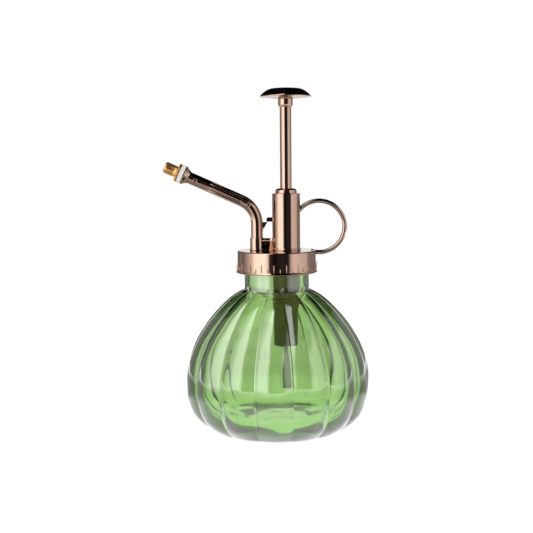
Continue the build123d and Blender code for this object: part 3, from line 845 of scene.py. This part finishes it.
def makeStage():
    bm = bmesh.new()
    bmesh.ops.create_grid(bm, x_segments=1, y_segments=1, size=stageSetup["floorSize"])
    bmesh.ops.translate(bm, vec=(0, 0, stageSetup["floorLevel"]), verts=bm.verts)
    mesh = bpy.data.meshes.new("floor")
    bm.to_mesh(mesh)
    bm.free()
    floor = bpy.data.objects.new("floor", mesh)
    bpy.context.collection.objects.link(floor)
    material = bpy.data.materials.new("paleFloor")
    material.use_nodes = True
    tree = material.node_tree
    shader = tree.nodes["Principled BSDF"]
    shader.inputs["Base Color"].default_value = (stageSetup["floorPaint"],) * 3 + (1,)
    shader.inputs["Roughness"].default_value = 1.0
    shader.inputs["Specular IOR Level"].default_value = 0.0
    shader.inputs["Emission Color"].default_value = (1, 1, 1, 1)
    shader.inputs["Emission Strength"].default_value = stageSetup["floorGlow"]
    coords = tree.nodes.new("ShaderNodeTexCoord")
    reach = tree.nodes.new("ShaderNodeVectorMath")
    reach.operation = "LENGTH"
    linkNodes(tree, coords.outputs["Object"], reach.inputs[0])
    fade = tree.nodes.new("ShaderNodeMapRange")
    fade.inputs["From Min"].default_value = stageSetup["nearReach"]
    fade.inputs["From Max"].default_value = stageSetup["farReach"]
    fade.inputs["To Min"].default_value = stageSetup["nearGlow"]
    fade.inputs["To Max"].default_value = stageSetup["farGlow"]
    linkNodes(tree, reach.outputs["Value"], fade.inputs["Value"])
    mirrored = tree.nodes.new("ShaderNodeEmission")
    path = tree.nodes.new("ShaderNodeLightPath")
    under = tree.nodes.new("ShaderNodeMapRange")
    under.data_type = "FLOAT_VECTOR"
    valueIn, fromMin, fromMax, toMin, toMax = under.inputs[6:11]  # its vector sockets follow the plain ones
    fromMin.default_value = (stageSetup["underReach"],) * 3
    fromMax.default_value = (stageSetup["outerReach"],) * 3
    toMin.default_value = stageSetup["underGlow"]
    toMax.default_value = stageSetup["outerGlow"]
    linkNodes(tree, reach.outputs["Value"], valueIn)
    seenThrough = tree.nodes.new("ShaderNodeEmission")
    linkNodes(tree, under.outputs[1], seenThrough.inputs["Color"])
    throughGlass = tree.nodes.new("ShaderNodeMixShader")
    linkNodes(tree, path.outputs["Is Transmission Ray"], throughGlass.inputs["Fac"])
    linkNodes(tree, shader.outputs["BSDF"], throughGlass.inputs[1])
    linkNodes(tree, seenThrough.outputs["Emission"], throughGlass.inputs[2])
    sheen = tree.nodes.new("ShaderNodeMapRange")
    sheen.inputs["From Min"].default_value = stageSetup["sheenFrom"]
    sheen.inputs["From Max"].default_value = stageSetup["sheenTo"]
    sheen.inputs["To Min"].default_value = stageSetup["sheen"]
    sheen.inputs["To Max"].default_value = 0.0
    linkNodes(tree, path.outputs["Ray Length"], sheen.inputs["Value"])
    lit = tree.nodes.new("ShaderNodeMath")
    linkNodes(tree, fade.outputs["Result"], lit.inputs[0])
    linkNodes(tree, sheen.outputs["Result"], lit.inputs[1])
    linkNodes(tree, lit.outputs[0], mirrored.inputs["Strength"])
    polished = tree.nodes.new("ShaderNodeMath")  # reflections only, not what is seen through the glass
    polished.operation = "MULTIPLY"
    linkNodes(tree, path.outputs["Is Glossy Ray"], polished.inputs[0])
    linkNodes(tree, path.outputs["Is Reflection Ray"], polished.inputs[1])
    chooser = tree.nodes.new("ShaderNodeMixShader")
    linkNodes(tree, polished.outputs[0], chooser.inputs["Fac"])
    linkNodes(tree, throughGlass.outputs["Shader"], chooser.inputs[1])
    linkNodes(tree, mirrored.outputs["Emission"], chooser.inputs[2])
    linkNodes(tree, chooser.outputs["Shader"], tree.nodes["Material Output"].inputs["Surface"])
    mesh.materials.append(material)


def makeWorld():
    # white surroundings with a dark strip in front, dark corners behind and a dark ceiling
    world = bpy.data.worlds.new("studio")
    bpy.context.scene.world = world
    world.use_nodes = True
    world.cycles.sampling_method = "NONE"
    tree = world.node_tree
    tree.nodes.clear()
    coords = tree.nodes.new("ShaderNodeTexCoord")
    split = tree.nodes.new("ShaderNodeSeparateXYZ")
    linkNodes(tree, coords.outputs["Generated"], split.inputs["Vector"])
    # azimuth as a share of a turn: 0.5 is towards the camera, more is to its right
    around = tree.nodes.new("ShaderNodeMath")
    around.operation = "ARCTAN2"
    linkNodes(tree, split.outputs["X"], around.inputs[0])
    flipped = tree.nodes.new("ShaderNodeMath")
    flipped.operation = "MULTIPLY"
    flipped.inputs[1].default_value = -1
    linkNodes(tree, split.outputs["Y"], flipped.inputs[0])
    linkNodes(tree, flipped.outputs[0], around.inputs[1])
    share = tree.nodes.new("ShaderNodeMapRange")
    share.inputs["From Min"].default_value = -math.pi
    share.inputs["From Max"].default_value = math.pi
    linkNodes(tree, around.outputs[0], share.inputs["Value"])
    ring = tree.nodes.new("ShaderNodeValToRGB")
    ring.color_ramp.interpolation = "EASE"
    stops = [(angle / 360 + 0.5, glow) for angle, glow in studio["ring"]]
    elements = ring.color_ramp.elements
    elements[0].position, elements[1].position = stops[0][0], stops[-1][0]
    elements[0].color = (stops[0][1],) * 3 + (1,)
    elements[1].color = (stops[-1][1],) * 3 + (1,)
    for position, glow in stops[1:-1]:
        element = elements.new(position)
        element.color = (glow,) * 3 + (1,)
    linkNodes(tree, share.outputs["Result"], ring.inputs["Fac"])
    tilted = tree.nodes.new("ShaderNodeVectorMath")
    tilted.operation = "DOT_PRODUCT"
    tilted.inputs[1].default_value = (0, studio["ceilingTilt"], 1)
    linkNodes(tree, coords.outputs["Generated"], tilted.inputs[0])
    ceiling = tree.nodes.new("ShaderNodeMapRange")
    ceiling.interpolation_type = "SMOOTHSTEP"
    ceiling.inputs["From Min"].default_value = studio["ceilingFrom"]
    ceiling.inputs["From Max"].default_value = studio["ceilingTo"]
    ceiling.inputs["To Min"].default_value = 1.0
    ceiling.inputs["To Max"].default_value = studio["ceilingGlow"]
    linkNodes(tree, tilted.outputs["Value"], ceiling.inputs["Value"])
    onRight = tree.nodes.new("ShaderNodeMath")
    onRight.operation = "GREATER_THAN"
    onRight.inputs[1].default_value = 0
    linkNodes(tree, split.outputs["X"], onRight.inputs[0])
    rightHeight = tree.nodes.new("ShaderNodeMath")
    rightHeight.operation = "MULTIPLY"
    linkNodes(tree, onRight.outputs[0], rightHeight.inputs[0])
    linkNodes(tree, split.outputs["Z"], rightHeight.inputs[1])
    rightTop = tree.nodes.new("ShaderNodeMapRange")
    rightTop.interpolation_type = "SMOOTHSTEP"
    rightTop.inputs["From Min"].default_value = studio["rightTopFrom"]
    rightTop.inputs["From Max"].default_value = studio["rightTopTo"]
    rightTop.inputs["To Min"].default_value = 1.0
    rightTop.inputs["To Max"].default_value = 0.0
    linkNodes(tree, rightHeight.outputs[0], rightTop.inputs["Value"])
    tops = tree.nodes.new("ShaderNodeMath")
    tops.operation = "MULTIPLY"
    linkNodes(tree, ceiling.outputs["Result"], tops.inputs[0])
    linkNodes(tree, rightTop.outputs["Result"], tops.inputs[1])
    both = tree.nodes.new("ShaderNodeVectorMath")
    both.operation = "MULTIPLY"
    linkNodes(tree, ring.outputs["Color"], both.inputs[0])
    linkNodes(tree, tops.outputs[0], both.inputs[1])
    plain = tree.nodes.new("ShaderNodeBackground")
    plain.inputs["Color"].default_value = (1, 1, 1, 1)
    mirrored = tree.nodes.new("ShaderNodeBackground")
    linkNodes(tree, both.outputs["Vector"], mirrored.inputs["Color"])
    mirrored.inputs["Strength"].default_value = studio["strength"]
    path = tree.nodes.new("ShaderNodeLightPath")
    dimmed = dimmedInGlass(tree, path, studio["plainGlow"], studio["glassDim"])
    linkNodes(tree, dimmed, plain.inputs["Strength"])
    # reflections see the studio, what is seen through the glass a part of it, and the rest plain white
    polished = tree.nodes.new("ShaderNodeMath")
    polished.operation = "MULTIPLY_ADD"
    linkNodes(tree, path.outputs["Is Transmission Ray"], polished.inputs[0])
    polished.inputs[1].default_value = -studio["seenThrough"]
    linkNodes(tree, path.outputs["Is Glossy Ray"], polished.inputs[2])
    chooser = tree.nodes.new("ShaderNodeMixShader")
    linkNodes(tree, polished.outputs[0], chooser.inputs["Fac"])
    linkNodes(tree, plain.outputs["Background"], chooser.inputs[1])
    linkNodes(tree, mirrored.outputs["Background"], chooser.inputs[2])
    output = tree.nodes.new("ShaderNodeOutputWorld")
    linkNodes(tree, chooser.outputs["Shader"], output.inputs["Surface"])


def makeCamera():
    camera = bpy.data.objects.new("camera", bpy.data.cameras.new("camera"))
    bpy.context.collection.objects.link(camera)
    camera.data.lens = cameraSetup["lens"]
    camera.data.sensor_width = 36
    camera.location = cameraSetup["place"]
    aim = Matrix.Rotation(math.radians(90 - cameraSetup["tiltDown"]), 3, "X")
    lean = Matrix.Rotation(math.radians(cameraSetup["lean"]), 3, "Z")
    camera.rotation_euler = (aim @ lean).to_euler()
    camera.data.clip_start = 0.01
    bpy.context.scene.camera = camera


makeStage()
makeWorld()
makeCamera()
bpy.context.scene.view_settings.view_transform = "Standard"
print("stage, light and camera set")
